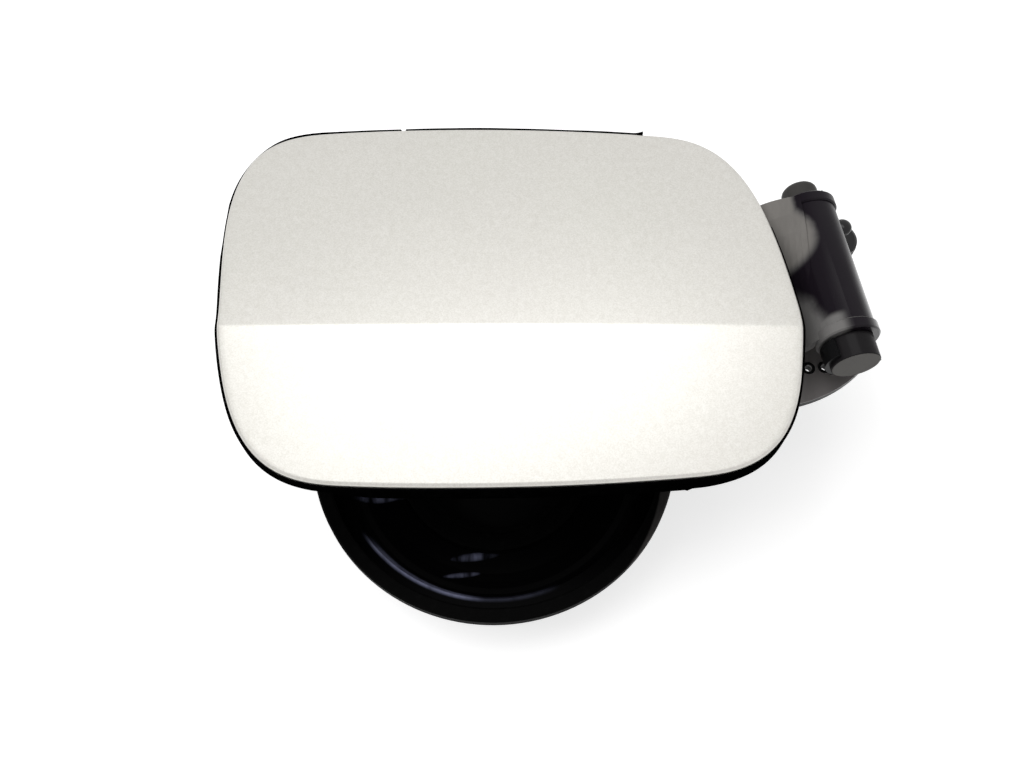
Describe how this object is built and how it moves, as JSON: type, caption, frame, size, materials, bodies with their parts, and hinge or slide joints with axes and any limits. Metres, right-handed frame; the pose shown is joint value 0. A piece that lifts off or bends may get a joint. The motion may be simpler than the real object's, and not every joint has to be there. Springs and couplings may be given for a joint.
{
  "type": "fuel filler flap with hinge arm and filler pot",
  "caption": "Painted car fuel filler door on a swan-neck hinge arm that swings open over a round black filler pot.",
  "frame": {"origin": "middle of the filler-neck bore, on the base plane that the part stands on", "axes": "+Z along the filler-neck bore out of the pot, +X towards the hinge, +Y up the car's side"},
  "size_m": [0.2292, 0.1687, 0.082],
  "materials": {
    "silver_paint": "light silver metallic with fine flake under clear coat",
    "arm_moulding": "glossy black moulding with patchy reflections",
    "pin_moulding": "satin black moulding, greyer on the cut end face",
    "pot_moulding": "black moulding, mid grey sheen on the flat plate",
    "rivet_moulding": "glossy black",
    "rubber": "near-black smooth rubber",
    "lip_rubber": "black rubber lip",
    "spring_steel": "drawn spring steel",
    "clip_steel": "zinc-coated spring steel",
    "striker_steel": "zinc-coated pressed steel"
  },
  "bodies": {
    "pot": {"filler_pot": "pot_moulding", "rim_seal": "rubber", "neck_seal": "rubber", "drain_nipple": "rubber", "hinge_pin": "pin_moulding", "leaf_spring": "spring_steel", "rivet_sleeve": "rivet_moulding", "lock_grommet": "rubber", "clip_nut_rear": "clip_steel", "clip_nut_side": "clip_steel", "arm_stop": "rubber"},
    "rivet_centre": {"rivet_pin": "rivet_moulding"},
    "door": {"door_skin": "silver_paint", "door_carrier": "arm_moulding", "edge_lip": "lip_rubber", "striker": "striker_steel", "striker_screws": "striker_steel", "cap_holder": "pot_moulding", "buffer_upper": "rubber", "buffer_lower": "rubber"}
  },
  "joints": [
    {"name": "door_hinge", "type": "hinge", "parent": "pot", "child": "door", "pos_m": [0.11579, 0.04627, 0.068], "axis": [-0.1461, 0.9893, 0], "range_deg": [0, 105]},
    {"name": "rivet_press", "type": "slide", "parent": "pot", "child": "rivet_centre", "axis": [0, 0, 1], "range_m": [-0.006, 0]}
  ]
}
